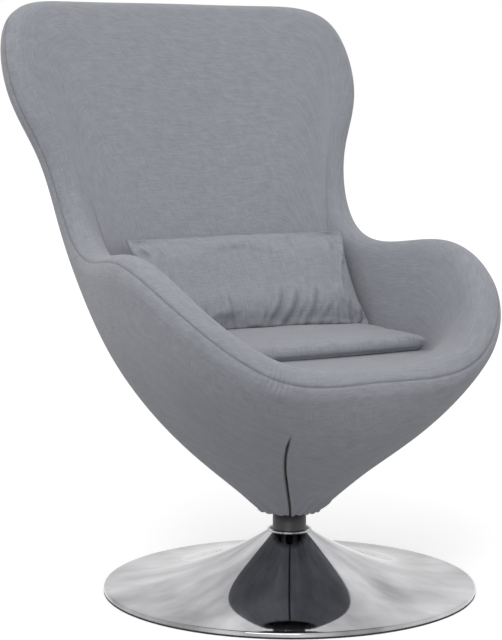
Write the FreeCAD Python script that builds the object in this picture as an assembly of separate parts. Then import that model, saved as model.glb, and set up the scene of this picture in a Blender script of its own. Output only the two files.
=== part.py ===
import FreeCAD, Part
import math
import os

# Swivel egg chair: a padded bucket shell that turns on a column over a spun trumpet foot.
# Millimetres, +Z up. The origin is on the floor on the swivel axis and the chair faces -Y.

V = FreeCAD.Vector
os.makedirs("parts", exist_ok=True)

# Foot
foot_radius = 300.0
foot_edge_height = 9.5
foot_edge_round = 3.0
foot_sheet = 2.0
trumpet_height = 97.0
trumpet_neck_radius = 33.5
trumpet_flare = 2.05
trumpet_steps = [0.0, 0.1, 0.27, 0.55, 1.0]
lip_roll = 2.2
pad_thickness = 2.5
ballast_inset = 16.0
ballast_thickness = 4.5

# Column, welded on the base plate, with a collar that centres the neck of the foot
column_radius = 27.0
column_wall = 3.0
column_top = 196.0
collar_height = 6.5
collar_gap = 0.2

# Swivel bearing
spindle_radius = 14.0
spindle_gap = 0.06
spindle_foot_radius = 10.0
spindle_hub_radius = 26.0
spindle_hub_height = 12.0
bush_foot = 104.0
bush_flange = 4.0
nut_gap = 0.3
nut_across = 38.0
nut_height = 10.0

# Plates and bolts that carry the shell
swivel_plate_side = 150.0
swivel_plate_corner = 12.0
swivel_plate_thickness = 5.0
plate_bolt_pitch = 118.0
clamp_plate_side = 142.0
clamp_plate_thickness = 4.0
bolt_radius = 4.0
bolt_hole_gap = 0.25
bolt_head_across = 13.0
bolt_head_height = 5.5
bolt_tip = 2.0

# Moulded shell inside the padding
shell_thickness = 6.0
shell_floor_radius = 108.0
shell_fit = 0.3
shell_depth = 26.0
shell_turn = 225.0

# Covers and padding
cover_thickness = 2.5
cover_fit = 0.3
seam_angle = 49.0
hem_radius = 52.0
hem_height = 132.0
hem_slope = 0.865
cavity_top_radius = 107.0
cavity_foot_radius = 45.0
cavity_foot_height = 140.0
seat_height = 385.0
seat_centre_y = 20.0

# Rim of the padded shell
lip_y = -235.0
lip_z = 356.0
arm_x = 289.0
arm_z = 522.0
waist_x = 249.0
waist_z = 551.0
ear_x = 310.0
ear_z = 830.0
head_y = 422.0
head_z = 923.0
rim_radius = 31.0
head_rim_radius = 27.0

# The stops of one half, from the front lip round the arm and up the wing to the top of the head.
# at: centre of the rim. turn, tilt: the way its outer side faces, from -Y to +X and upwards.
# wrap: how far the padding bends over the rim. hem: where the stop's rib leaves the hem circle.
# head: how far the rim has thinned to the head's radius. full: fullness of the outer side at
# hem and rim and of the inner side at rim and seat. seat: where the rib lands on the seat.
stops = {
    "lip": dict(
        at=(0.0, lip_y, lip_z), turn=0.0, tilt=-20.0, wrap=108.0, hem=0.0, head=0.0,
        full=(1.1, 1.1, 0.45, 0.5), seat=(0.0, -160.0)),
    "corner": dict(
        at=(172.0, lip_y + 12.0, lip_z + 25.0), turn=35.0, tilt=-34.0, wrap=122.0, hem=26.0, head=0.0,
        full=(1.15, 0.9, 0.5, 0.45), seat=(120.0, -152.0)),
    "knee": dict(
        at=(arm_x - 24.0, -150.0, arm_z - 62.0), turn=61.0, tilt=-20.0, wrap=142.0, hem=51.0, head=0.0,
        full=(1.1, 1.05, 0.6, 0.35), seat=(190.0, -116.0)),
    "arm": dict(
        at=(arm_x, -18.0, arm_z), turn=84.0, tilt=-12.0, wrap=152.0, hem=80.0, head=0.0,
        full=(1.14, 1.2, 0.7, 0.25), seat=(216.0, -30.0)),
    "elbow": dict(
        at=(arm_x - 22.0, 120.0, arm_z - 10.0), turn=104.0, tilt=-6.0, wrap=152.0, hem=101.0, head=0.0,
        full=(1.06, 1.08, 0.6, 0.22), seat=(214.0, 60.0)),
    "waist": dict(
        at=(waist_x, 236.0, waist_z), turn=123.0, tilt=1.0, wrap=142.0, hem=118.0, head=0.1,
        full=(1.03, 0.6, 0.45, 0.2), seat=(204.0, 122.0)),
    "wing": dict(
        at=(waist_x + 19.0, 304.0, 698.0), turn=120.0, tilt=1.0, wrap=128.0, hem=133.0, head=0.5,
        full=(1.2, 0.8, 0.35, 0.18), seat=(180.0, 152.0)),
    "ear": dict(
        at=(ear_x, 345.0, ear_z), turn=120.0, tilt=6.0, wrap=130.0, hem=151.0, head=0.8,
        full=(1.12, 0.78, 0.4, 0.16), seat=(140.0, 163.0)),
    "shoulder": dict(
        at=(ear_x - 12.0, 375.0, head_z - 28.0), turn=141.0, tilt=12.0, wrap=134.0, hem=163.0, head=1.0,
        full=(1.1, 0.8, 0.45, 0.15), seat=(98.0, 167.0)),
    "crown": dict(
        at=(194.0, head_y - 11.0, head_z - 1.0), turn=164.0, tilt=8.0, wrap=138.0, hem=171.0, head=1.0,
        full=(1.09, 1.06, 0.55, 0.15), seat=(50.0, 168.0)),
    "top": dict(
        at=(0.0, head_y, head_z), turn=180.0, tilt=11.0, wrap=140.0, hem=180.0, head=1.0,
        full=(1.08, 1.08, 0.65, 0.15), seat=(0.0, 168.0)),
}
around = 40
outer_steps = [0.0, 0.1, 0.24, 0.4, 0.56, 0.72, 0.87]
inner_steps = [0.16, 0.36, 0.56, 0.73, 0.86, 0.95, 1.0]
shell_steps = [0.0, 0.2, 0.42, 0.64, 0.85]

# Seat cushion: a thin crowned pad on the flat seat
seat_pad_half_width = 204.0
seat_pad_front = -99.0
seat_pad_back = 146.0
seat_pad_edge = 21.0
seat_pad_crown = 5.0
seat_pad_corner = 0.5
seat_pad_shoulder = 0.6

# Lumbar cushion: a pillow with pointed corners that stands on the seat cushion and leans on the
# back, with its ends bent forward by the sides of the shell
lumbar_half_width = 200.0
lumbar_height = 148.0
lumbar_thickness = 82.0
lumbar_front_y = 129.5
lumbar_lean = 0.59
lumbar_bend = 44.0
lumbar_seat_gap = 1.2
drawn_in = 0.03

cushion_cover = 1.5
soft_gap = 0.3
pad_around = 24


def save(name, shape):
    shape.exportStep("parts/" + name + ".step")
    print(name, len(shape.Solids), round(shape.Volume / 1000.0, 1), shape.isValid())


def cylinder(radius, low, high, x=0.0, y=0.0):
    return Part.makeCylinder(radius, high - low, V(x, y, low))


def turned(points):
    # A solid turned about Z from a closed profile of (radius, height) points.
    outline = [V(r, 0.0, z) for r, z in points]
    face = Part.Face(Part.makePolygon(outline + outline[:1]))
    return face.revolve(V(0, 0, 0), V(0, 0, 1), 360)


def square_places(pitch):
    for sx in (-1, 1):
        for sy in (-1, 1):
            yield sx * pitch / 2.0, sy * pitch / 2.0


def hexagon(across, low, high, x=0.0, y=0.0):
    corner = across / math.sqrt(3.0)
    points = []
    for i in range(7):
        a = math.radians(60.0 * i)
        points.append(V(x + corner * math.cos(a), y + corner * math.sin(a), low))
    return Part.Face(Part.makePolygon(points)).extrude(V(0, 0, high - low))


def hex_bolt(x, y, head_low, head_high, tip):
    head = hexagon(bolt_head_across, head_low, head_high, x, y)
    return head.fuse(cylinder(bolt_radius, head_low, tip, x, y)).removeSplitter()


# Foot

plate_rest = pad_thickness + ballast_thickness
ballast_radius = foot_radius - ballast_inset


def dish_height(radius):
    # The outer face of the foot: a low dish that sweeps up into the neck.
    s = (foot_radius - radius) / (foot_radius - trumpet_neck_radius)
    return foot_edge_height + (trumpet_height - foot_edge_height) * s ** trumpet_flare


def make_trumpet():
    # Spun sheet: the profile runs down the outer face, round the edge and back up underneath.
    outer, under = [], []
    edge = foot_radius - foot_edge_round
    for s in trumpet_steps:
        r = trumpet_neck_radius + (edge - trumpet_neck_radius) * s
        slope = dish_height(r + 0.5) - dish_height(r - 0.5)
        way = V(slope, 0, -1).normalize() * foot_sheet
        outer.append((r, dish_height(r)))
        under.append((r + way.x, dish_height(r) + way.z))
    shoulder = dish_height(edge) - foot_edge_round
    skirt = [(foot_radius, shoulder), (foot_radius, pad_thickness), (foot_radius - foot_sheet, pad_thickness)]
    return turned(rolled_lip() + outer + skirt + under[:0:-1])


def rolled_lip():
    # The edge of the sheet is rolled outwards round the neck.
    neck = trumpet_neck_radius
    inside = neck - foot_sheet
    return [
        (inside, trumpet_height - lip_roll), (inside, trumpet_height + lip_roll),
        (neck + lip_roll, trumpet_height + lip_roll * 0.5),
    ]


def make_foot():
    save("foot_trumpet", make_trumpet())
    save("floor_pad", cylinder(foot_radius, 0.0, pad_thickness))
    collar_top = trumpet_height + lip_roll / 2.0
    collar_radius = trumpet_neck_radius - foot_sheet - collar_gap
    column = cylinder(ballast_radius, pad_thickness, plate_rest).fuse([
        cylinder(column_radius, plate_rest, column_top),
        cylinder(collar_radius, collar_top - collar_height, collar_top),
    ])
    bore = cylinder(column_radius - column_wall, plate_rest, column_top)
    save("column_base", column.cut(bore).removeSplitter())


# Swivel bearing

hub_low = column_top + bush_flange
plate_low = hub_low + spindle_hub_height
plate_top = plate_low + swivel_plate_thickness
shell_floor = plate_top + shell_thickness / 2.0
clamp_low = plate_top + shell_thickness
clamp_top = clamp_low + clamp_plate_thickness


def make_bearing():
    fit, wall = spindle_radius + spindle_gap, column_radius - column_wall
    profile = [
        (fit, bush_foot), (wall, bush_foot), (wall, column_top), (column_radius, column_top),
        (column_radius, hub_low), (fit, hub_low),
    ]
    save("sleeve_bush", turned(profile))
    nut_top = bush_foot - nut_gap
    nut_low = nut_top - nut_height
    profile = [
        (0.0, nut_low), (spindle_foot_radius, nut_low), (spindle_foot_radius, nut_top),
        (spindle_radius, nut_top), (spindle_radius, hub_low), (spindle_hub_radius, hub_low),
        (spindle_hub_radius, plate_low), (0.0, plate_low),
    ]
    plate = rounded_plate(swivel_plate_side, swivel_plate_corner, plate_low, plate_top)
    for x, y in square_places(plate_bolt_pitch):
        plate = plate.cut(cylinder(bolt_radius + bolt_hole_gap, plate_low, plate_top, x, y))
    save("swivel_plate", plate.fuse(turned(profile)).removeSplitter())
    nut = hexagon(nut_across, nut_low, nut_top)
    save("keeper_nut", nut.cut(cylinder(spindle_foot_radius, nut_low, nut_top)))


def rounded_plate(side, corner, low, high):
    h = side / 2.0
    plate = Part.makeBox(side, side, high - low, V(-h, -h, low))
    upright = [e for e in plate.Edges if abs(e.Vertexes[0].Z - e.Vertexes[1].Z) > 1e-6]
    return plate.makeFillet(corner, upright)


def make_clamp():
    side = clamp_plate_side
    clamp = Part.makeBox(side, side, clamp_plate_thickness, V(-side / 2.0, -side / 2.0, clamp_low))
    bolts = []
    for x, y in square_places(plate_bolt_pitch):
        clamp = clamp.cut(cylinder(bolt_radius, clamp_low, clamp_top, x, y))
        bolts.append(hex_bolt(x, y, plate_low - bolt_head_height, plate_low, clamp_top + bolt_tip))
    save("clamp_plate", clamp)
    save("plate_bolts", Part.makeCompound(bolts))


# Soft bodies are closed nets of flat facets between rings of points

def onward(rings, lean=False):
    return [(ring, lean) for ring in rings]


def back(rings, lean=False):
    return [(ring, not lean) for ring in reversed(rings)]


def net(rings, start=None, end=None, closed=False):
    # Facets between neighbouring rings. Rings that run back are split along the same diagonal as
    # onward ones, so that a lining keeps parallel to its skin and neighbours share their seam.
    # The two sides mirror each other, and lean picks which diagonal they take.
    # start and end are points that close the first and last ring.
    count = len(rings[0][0])
    points = [p for ring, mirrored_split in rings for p in ring]
    facets = []
    pairs = [(j, j + 1) for j in range(len(rings) - 1)]
    if closed:
        pairs.append((len(rings) - 1, 0))
    for lower, upper in pairs:
        for k in range(count):
            other_way = rings[lower][1] != (2 * k >= count)
            a, b = lower * count + k, lower * count + (k + 1) % count
            c, d = upper * count + (k + 1) % count, upper * count + k
            facets += [(a, b, d), (b, c, d)] if other_way else [(a, b, c), (a, c, d)]
    for point, ring, flip in ((start, 0, True), (end, len(rings) - 1, False)):
        if point is not None:
            tip = len(points)
            points.append(point)
            for k in range(count):
                a, b = ring * count + k, ring * count + (k + 1) % count
                facets.append((b, a, tip) if flip else (a, b, tip))
    shape = Part.Shape()
    shape.makeShapeFromMesh((points, facets), 0.001)
    solid = Part.Solid(Part.Shell(shape.Faces))
    if solid.Volume < 0:
        solid.reverse()
    return solid


def mirrored(half):
    return half + [V(-p.x, p.y, p.z) for p in half[-2:0:-1]]


def unit(v):
    return V(v).normalize()


def hermite(a, da, b, db, v):
    return (
        a * (2 * v ** 3 - 3 * v ** 2 + 1) + da * (v ** 3 - 2 * v ** 2 + v)
        + b * (3 * v ** 2 - 2 * v ** 3) + db * (v ** 3 - v ** 2)
    )


class Rib:
    # One stop of the rim, with the frame that its padding is drawn in.
    def __init__(self, stop, along):
        self.centre = V(*stop["at"])
        self.along = along
        turn, tilt = math.radians(stop["turn"]), math.radians(stop["tilt"])
        out = V(math.sin(turn) * math.cos(tilt), -math.cos(turn) * math.cos(tilt), math.sin(tilt))
        self.out = unit(out - along * out.dot(along))
        self.crest = self.out.cross(along)
        self.radius = rim_radius + (head_rim_radius - rim_radius) * stop["head"]
        self.wrap = stop["wrap"]
        around_hem = math.radians(stop["hem"])
        away = V(math.sin(around_hem), -math.cos(around_hem), 0)
        self.hem_along = V(math.cos(around_hem), math.sin(around_hem), 0)
        self.hem = away * hem_radius + V(0, 0, hem_height)
        self.hem_way = unit(away + V(0, 0, hem_slope))
        self.seat = V(*stop["seat"], seat_height)
        self.fullness = stop["full"]

    def over_rim(self, degrees):
        a = math.radians(degrees)
        return self.centre + (self.out * math.cos(a) + self.crest * math.sin(a)) * self.radius

    def over_rim_way(self, degrees):
        a = math.radians(degrees)
        return self.crest * math.cos(a) - self.out * math.sin(a)

    def outer(self, v):
        end = self.over_rim(0)
        span = (end - self.hem).Length
        low, high = self.hem_way * span * self.fullness[0], self.crest * span * self.fullness[1]
        return hermite(self.hem, low, end, high, v)

    def inner(self, v):
        start = self.over_rim(self.wrap)
        span = (start - self.seat).Length
        leave = self.over_rim_way(self.wrap) * span * self.fullness[2]
        land = unit(seat_centre - self.seat) * span * self.fullness[3]
        return hermite(start, leave, self.seat, land, v)

    def under_outer(self, height, share, depth):
        # From a given height up to the rim, a point under the outer side, square to the rib.
        low, high = 0.0, 1.0
        while high - low > 0.001:
            middle = (low + high) / 2.0
            if self.outer(middle).z < height:
                low = middle
            else:
                high = middle
        v = low + (1.0 - low) * share
        run = self.outer(v + 0.005) - self.outer(v - 0.005)
        side = self.hem_along * (1.0 - v) + self.along * v
        return self.outer(v) - unit(side.cross(run)) * depth


seat_centre = V(0, seat_centre_y, seat_height)


def make_ribs():
    centres = mirrored([V(*stop["at"]) for stop in stops.values()])
    ribs = []
    for i, stop in enumerate(stops.values()):
        along = unit(centres[(i + 1) % len(centres)] - centres[i - 1])
        ribs.append(Rib(stop, along))
    lengths = [0.0]
    for i, c in enumerate(centres):
        lengths.append(lengths[-1] + (centres[(i + 1) % len(centres)] - c).Length)
    return ribs, [s / lengths[-1] for s in lengths]


ribs, stop_places = make_ribs()


def ring_through(half):
    # A smooth closed ring through one point on each rib, as evenly spread points.
    curve = Part.BSplineCurve()
    curve.interpolate(Points=mirrored(half), PeriodicFlag=True, Parameters=stop_places)
    return [curve.value(k / around) for k in range(around)]


def normals(rings, first=None, last=None):
    # Outward direction at every point of a net, from its neighbours along and across the rings.
    result = []
    for j, ring in enumerate(rings):
        fixed = first if j == 0 else last if j == len(rings) - 1 else None
        row = []
        for k in range(len(ring)):
            if fixed is not None:
                row.append(fixed)
                continue
            along = ring[(k + 1) % len(ring)] - ring[k - 1]
            across = rings[min(j + 1, len(rings) - 1)][k] - rings[max(j - 1, 0)][k]
            row.append(unit(along.cross(across)))
        result.append(row)
    return result


def offset(rings, ways, distance):
    return [[p + n * distance for p, n in zip(ring, row)] for ring, row in zip(rings, ways)]


def make_skin():
    # The finished outside of the upholstery, from the hem over the rim to the seat.
    levels = [[rib.outer(v) for rib in ribs] for v in outer_steps]
    levels += [[rib.over_rim(a) for rib in ribs] for a in (0.0, seam_angle / 2.0, seam_angle)]
    for share in (1 / 3, 2 / 3, 1.0):
        levels.append([rib.over_rim(seam_angle + (rib.wrap - seam_angle) * share) for rib in ribs])
    levels += [[rib.inner(v) for rib in ribs] for v in inner_steps]
    return [ring_through(half) for half in levels]


skin = make_skin()
skin_ways = normals(skin, last=V(0, 0, 1))
seam = len(outer_steps) + 2


def circle_ring(radius, height):
    # A level circle whose points stand under those of the hem.
    return [V(p.x, p.y, 0).normalize() * radius + V(0, 0, height) for p in skin[0]]


def make_shell_upholstery():
    lining = offset(skin, skin_ways, -cover_thickness)
    save("outer_cover", net(onward(skin[:seam + 1]) + back(lining[:seam + 1]), closed=True))
    under = seat_centre - V(0, 0, cover_thickness)
    save("inner_cover", net(back(lining[seam:]) + onward(skin[seam:]), start=under, end=seat_centre))

    # Moulded shell
    sides = [ring_through([rib.under_outer(shell_turn, v, shell_depth) for rib in ribs]) for v in shell_steps]
    rim_line = ring_through([rib.centre for rib in ribs])
    mid = [circle_ring(shell_floor_radius, shell_floor)] + sides + [rim_line]
    mid_ways = normals(mid, first=V(0, 0, -1))
    half = shell_thickness / 2.0
    outside, inside = offset(mid, mid_ways, half), offset(mid, mid_ways, -half)
    floor_top, floor_under = V(0, 0, shell_floor + half), V(0, 0, shell_floor - half)
    body = net(onward(inside, True) + back(outside, True), start=floor_top, end=floor_under)
    for x, y in square_places(plate_bolt_pitch):
        body = body.cut(cylinder(bolt_radius + bolt_hole_gap, plate_top, clamp_low, x, y))
    save("moulded_shell", body)

    # Moulded foam: it wraps the shell and leaves room for the bearing underneath
    foam_skin = offset(skin, skin_ways, -cover_thickness - cover_fit)
    grown = half + shell_fit
    pocket = mid[:-1] + [ring_through([rib.centre + rib.crest * shell_fit for rib in ribs])]
    pocket_in = offset(pocket, mid_ways, -grown)
    pocket_out = offset(pocket, mid_ways, grown)
    roof = clamp_top + bolt_tip + shell_fit
    recess = clamp_plate_side * 0.72
    rings = onward([circle_ring(recess, roof), circle_ring(recess + 1.0, clamp_low + shell_fit)])
    rings += onward(pocket_in, True) + back(pocket_out, True)
    rings += onward([circle_ring(cavity_top_radius, plate_top - 2.0)])
    rings += onward([circle_ring(cavity_foot_radius, cavity_foot_height)] + foam_skin)
    foam_centre = seat_centre - V(0, 0, cover_thickness + cover_fit)
    save("moulded_foam", net(rings, start=V(0, 0, roof), end=foam_centre))


# Loose cushions

def pad_outline(half_x, half_y, corner):
    # A rectangle whose sides are drawn in between its corners. Its corners are pointed where
    # corner is 0, and with 1 it is an oval.
    points = []
    for k in range(pad_around):
        a = 2.0 * math.pi * k / pad_around
        reach = max(abs(math.cos(a)), abs(math.sin(a)))
        u, w = math.cos(a) / reach, math.sin(a) / reach
        x = half_x * u * (1 + drawn_in * w * w) * math.sqrt(1 - corner * w * w / 2)
        y = half_y * w * (1 + drawn_in * u * u) * math.sqrt(1 - corner * u * u / 2)
        points.append((x, y))
    return points


def cushion(place, half_x, half_y, levels, inset):
    # levels: (share of the outline, distance in from it, height, corner), from the underside up.
    rings = []
    for share, pull, height, corner in levels:
        outline = pad_outline((half_x - pull) * share, (half_y - pull) * share, corner)
        rings.append([place(x, y, height) for x, y in outline])
    low, high = levels[0][2], levels[-1][2]
    ways = normals(rings)
    rings = offset(rings, ways, -inset)
    step = inset if low < high else -inset
    return net(onward(rings), start=place(0, 0, low + step), end=place(0, 0, high - step))


seat_pad_low = seat_height + soft_gap
seat_pad_top = seat_pad_low + seat_pad_edge
seat_pad_rest = seat_pad_top + seat_pad_crown * seat_pad_shoulder


def make_seat_cushion():
    centre_y = (seat_pad_front + seat_pad_back) / 2.0
    half_y = (seat_pad_back - seat_pad_front) / 2.0

    def place(x, y, z):
        return V(x, centre_y + y, z)

    levels = [
        (0.5, 0.0, seat_pad_low, seat_pad_corner),
        (0.94, 0.0, seat_pad_low, seat_pad_corner),
        (1.0, 3.0, seat_pad_low + 0.12 * seat_pad_edge, seat_pad_corner),
        (1.0, 0.0, seat_pad_low + 0.5 * seat_pad_edge, seat_pad_corner),
        (1.0, 3.0, seat_pad_low + 0.86 * seat_pad_edge, seat_pad_corner),
        (0.94, 0.0, seat_pad_top, seat_pad_corner),
        (0.72, 0.0, seat_pad_rest, seat_pad_corner),
        (0.36, 0.0, seat_pad_top + seat_pad_crown, seat_pad_corner),
    ]
    make_cushion("seat_cushion", place, seat_pad_half_width, half_y, levels)


def make_cushion(name, place, half_x, half_y, levels):
    whole = cushion(place, half_x, half_y, levels, 0.0)
    hollow = cushion(place, half_x, half_y, levels, cushion_cover)
    filling = cushion(place, half_x, half_y, levels, cushion_cover + soft_gap)
    save(name + "_cover", whole.cut(hollow))
    save(name + "_filling", filling)


def make_lumbar_cushion():
    middle = seat_pad_rest + lumbar_seat_gap + lumbar_height / 2.0
    half = lumbar_thickness / 2.0

    def place(x, y, depth):
        # Sheared back with the backrest, so that the foot stays level on the seat cushion.
        forward = lumbar_bend * (x / lumbar_half_width) ** 2
        return V(x, lumbar_front_y + half + y * lumbar_lean - depth - forward, middle + y)

    levels = [
        (0.45, 0.0, -half, 0.9), (0.82, 0.0, -0.88 * half, 0.6), (0.95, 0.0, -0.5 * half, 0.25),
        (1.0, 0.0, 0.0, 0.0), (0.95, 0.0, 0.5 * half, 0.25), (0.82, 0.0, 0.88 * half, 0.6),
        (0.45, 0.0, half, 0.9),
    ]
    make_cushion("lumbar_cushion", place, lumbar_half_width, lumbar_height / 2.0, levels)


make_foot()
make_bearing()
make_clamp()
make_shell_upholstery()
make_seat_cushion()
make_lumbar_cushion()
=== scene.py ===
import math
import bpy
import bmesh
import numpy as np
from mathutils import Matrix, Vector
from mathutils.bvhtree import BVHTree


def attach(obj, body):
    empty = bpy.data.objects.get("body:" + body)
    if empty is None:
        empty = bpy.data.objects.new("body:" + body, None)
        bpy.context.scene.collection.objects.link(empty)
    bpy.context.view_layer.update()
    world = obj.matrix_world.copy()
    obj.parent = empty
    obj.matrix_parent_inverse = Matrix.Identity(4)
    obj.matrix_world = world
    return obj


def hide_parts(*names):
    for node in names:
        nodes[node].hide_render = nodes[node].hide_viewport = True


# A swivel egg chair in a pale studio. Metres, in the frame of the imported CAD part.

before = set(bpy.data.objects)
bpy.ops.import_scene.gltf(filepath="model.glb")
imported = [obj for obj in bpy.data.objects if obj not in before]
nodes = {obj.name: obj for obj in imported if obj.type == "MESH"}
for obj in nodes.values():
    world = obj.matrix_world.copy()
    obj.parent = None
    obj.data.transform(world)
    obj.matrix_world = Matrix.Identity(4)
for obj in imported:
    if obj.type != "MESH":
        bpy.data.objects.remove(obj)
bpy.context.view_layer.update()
print("frame loaded")

mm = 0.001


# Shader nodes and groups
def makeMaterial(name):
    material = bpy.data.materials.new(name)
    material.use_nodes = True
    tree = material.node_tree
    return material, tree, tree.nodes["Principled BSDF"]


def addNode(tree, kind, values=None, **settings):
    node = tree.nodes.new(kind)
    for key, value in settings.items():
        setattr(node, key, value)
    for key, value in (values or {}).items():
        node.inputs[key].default_value = value
    return node


def calc(tree, operation, *values):
    # A Math node on sockets or plain numbers.
    node = addNode(tree, "ShaderNodeMath", operation=operation)
    for slot, value in enumerate(values):
        if isinstance(value, (int, float)):
            node.inputs[slot].default_value = value
        else:
            tree.links.new(value, node.inputs[slot])
    return node.outputs[0]


def centred(tree, noise, gain):
    # The swing of a noise about its middle, times a gain.
    return calc(tree, "MULTIPLY", calc(tree, "SUBTRACT", noise, 0.5), gain)


def scaleColor(tree, color, factor):
    node = addNode(tree, "ShaderNodeVectorMath", operation="SCALE")
    tree.links.new(color, node.inputs[0])
    tree.links.new(factor, node.inputs["Scale"])
    return node.outputs[0]


def addBump(tree, shader, height, strength, depth):
    bump = addNode(tree, "ShaderNodeBump", {"Strength": strength, "Distance": depth})
    tree.links.new(height, bump.inputs["Height"])
    tree.links.new(bump.outputs[0], shader.inputs["Normal"])


def makeGroup(name, inputs, outputs):
    group = bpy.data.node_groups.new(name, "ShaderNodeTree")
    for label, kind, default in inputs:
        socket = group.interface.new_socket(label, in_out="INPUT", socket_type=kind)
        socket.default_value = default
    for label, kind in outputs:
        group.interface.new_socket(label, in_out="OUTPUT", socket_type=kind)
    return group, group.nodes.new("NodeGroupInput"), group.nodes.new("NodeGroupOutput")


def useGroup(tree, group, values):
    node = tree.nodes.new("ShaderNodeGroup")
    node.node_tree = group
    for key, value in values.items():
        node.inputs[key].default_value = value
    return node


# A plain weave of heathered threads, drawn on the cloth's own UV map in metres
weaveForm = {
    "threadStep": 0.731,  # from one thread to the next, in the noise
    "alongThread": 0.045,
    "warpToWeft": 3.7,
    "contrast": 2.2,
    "cloudScale": 55.0,
    "cloudContrast": 0.55,
}


def makeWeaveGroup(form):
    group, entry, leave = makeGroup(
        "plainWeave",
        [
            ("Light", "NodeSocketColor", (0.5, 0.5, 0.5, 1)),
            ("Dark", "NodeSocketColor", (0.2, 0.2, 0.2, 1)),
            ("Pitch", "NodeSocketFloat", 0.001),
            ("Heather", "NodeSocketFloat", 1.0),
        ],
        [("Color", "NodeSocketColor"), ("Height", "NodeSocketFloat")])
    links = group.links
    uv = addNode(group, "ShaderNodeUVMap", uv_map="cloth")
    split = addNode(group, "ShaderNodeSeparateXYZ")
    links.new(uv.outputs[0], split.inputs[0])
    tones, ridges, numbers = [], [], []
    for axis in (0, 1):
        across = calc(group, "DIVIDE", split.outputs[axis], entry.outputs["Pitch"])
        run = calc(group, "DIVIDE", split.outputs[1 - axis], entry.outputs["Pitch"])
        number = calc(group, "FLOOR", across)
        turn = calc(group, "MULTIPLY", across, math.pi)
        place = addNode(group, "ShaderNodeCombineXYZ", {"Z": form["warpToWeft"] * axis})
        links.new(calc(group, "MULTIPLY", number, form["threadStep"]), place.inputs["X"])
        links.new(calc(group, "MULTIPLY", run, form["alongThread"]), place.inputs["Y"])
        noise = addNode(
            group, "ShaderNodeTexNoise", {"Scale": 1.0, "Detail": 2.0, "Roughness": 0.6})
        links.new(place.outputs[0], noise.inputs["Vector"])
        tones.append(noise.outputs[0])
        ridges.append(calc(group, "ABSOLUTE", calc(group, "SINE", turn)))
        numbers.append(number)
    over = calc(group, "ABSOLUTE", calc(group, "MODULO", calc(group, "ADD", *numbers), 2.0))
    under = calc(group, "SUBTRACT", 1.0, over)
    # At each crossing, the thread on top gives tone and height
    tone, height = (
        calc(group, "ADD", calc(group, "MULTIPLY", a, over), calc(group, "MULTIPLY", b, under))
        for a, b in (tones, ridges))
    coords = addNode(group, "ShaderNodeTexCoord")
    cloud = addNode(
        group, "ShaderNodeTexNoise",
        {"Scale": form["cloudScale"], "Detail": 5.0, "Roughness": 0.65})
    links.new(coords.outputs["Object"], cloud.inputs["Vector"])
    swing = calc(
        group, "ADD", centred(group, tone, form["contrast"]),
        centred(group, cloud.outputs[0], form["cloudContrast"]))
    share = calc(group, "ADD", calc(group, "MULTIPLY", swing, entry.outputs["Heather"]), 0.5)
    mix = addNode(group, "ShaderNodeMix", data_type="RGBA")
    links.new(share, mix.inputs[0])
    links.new(entry.outputs["Dark"], mix.inputs[6])
    links.new(entry.outputs["Light"], mix.inputs[7])
    # Painted shade: creases, seams, the zip's slit and the lumbar cushion's turned-under front
    # are darkened in colour, by an amount kept on the mesh
    paintedShade = addNode(group, "ShaderNodeAttribute", attribute_name="paintedShade")
    shade = calc(group, "SUBTRACT", 1.0, paintedShade.outputs["Fac"])
    links.new(scaleColor(group, mix.outputs[2], shade), leave.inputs["Color"])
    links.new(height, leave.inputs["Height"])
    return group


fabricLook = {
    "light": (0.345, 0.355, 0.392, 1),
    "dark": (0.216, 0.224, 0.250, 1),
    "threadPitch": 1.1 * mm,
    "heather": 1.0,
    "bump": 0.35,
    "bumpDepth": 0.4 * mm,
    "roughness": 0.92,
    "specular": 0.2,
    "sheen": 0.25,
    "sheenRoughness": 0.5,
}


def makeFabric(name, look):
    material, tree, shader = makeMaterial(name)
    weave = useGroup(tree, weaveGroup, {
        "Light": look["light"], "Dark": look["dark"],
        "Pitch": look["threadPitch"], "Heather": look["heather"],
    })
    tree.links.new(weave.outputs["Color"], shader.inputs["Base Color"])
    addBump(tree, shader, weave.outputs["Height"], look["bump"], look["bumpDepth"])
    shader.inputs["Roughness"].default_value = look["roughness"]
    shader.inputs["Specular IOR Level"].default_value = look["specular"]
    shader.inputs["Sheen Weight"].default_value = look["sheen"]
    shader.inputs["Sheen Roughness"].default_value = look["sheenRoughness"]
    return material


weaveGroup = makeWeaveGroup(weaveForm)
fabric = makeFabric("fabric", fabricLook)


# Metals, plastics and rubber: fine noise and soft smudges on object coordinates. On the chrome
# the strong patches are painted reflection
wearAndReflectionForm = {"smudgeLow": 0.3, "smudgeHigh": 0.7, "fineShare": 0.6, "bumpDepth": 0.3 * mm}


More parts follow.
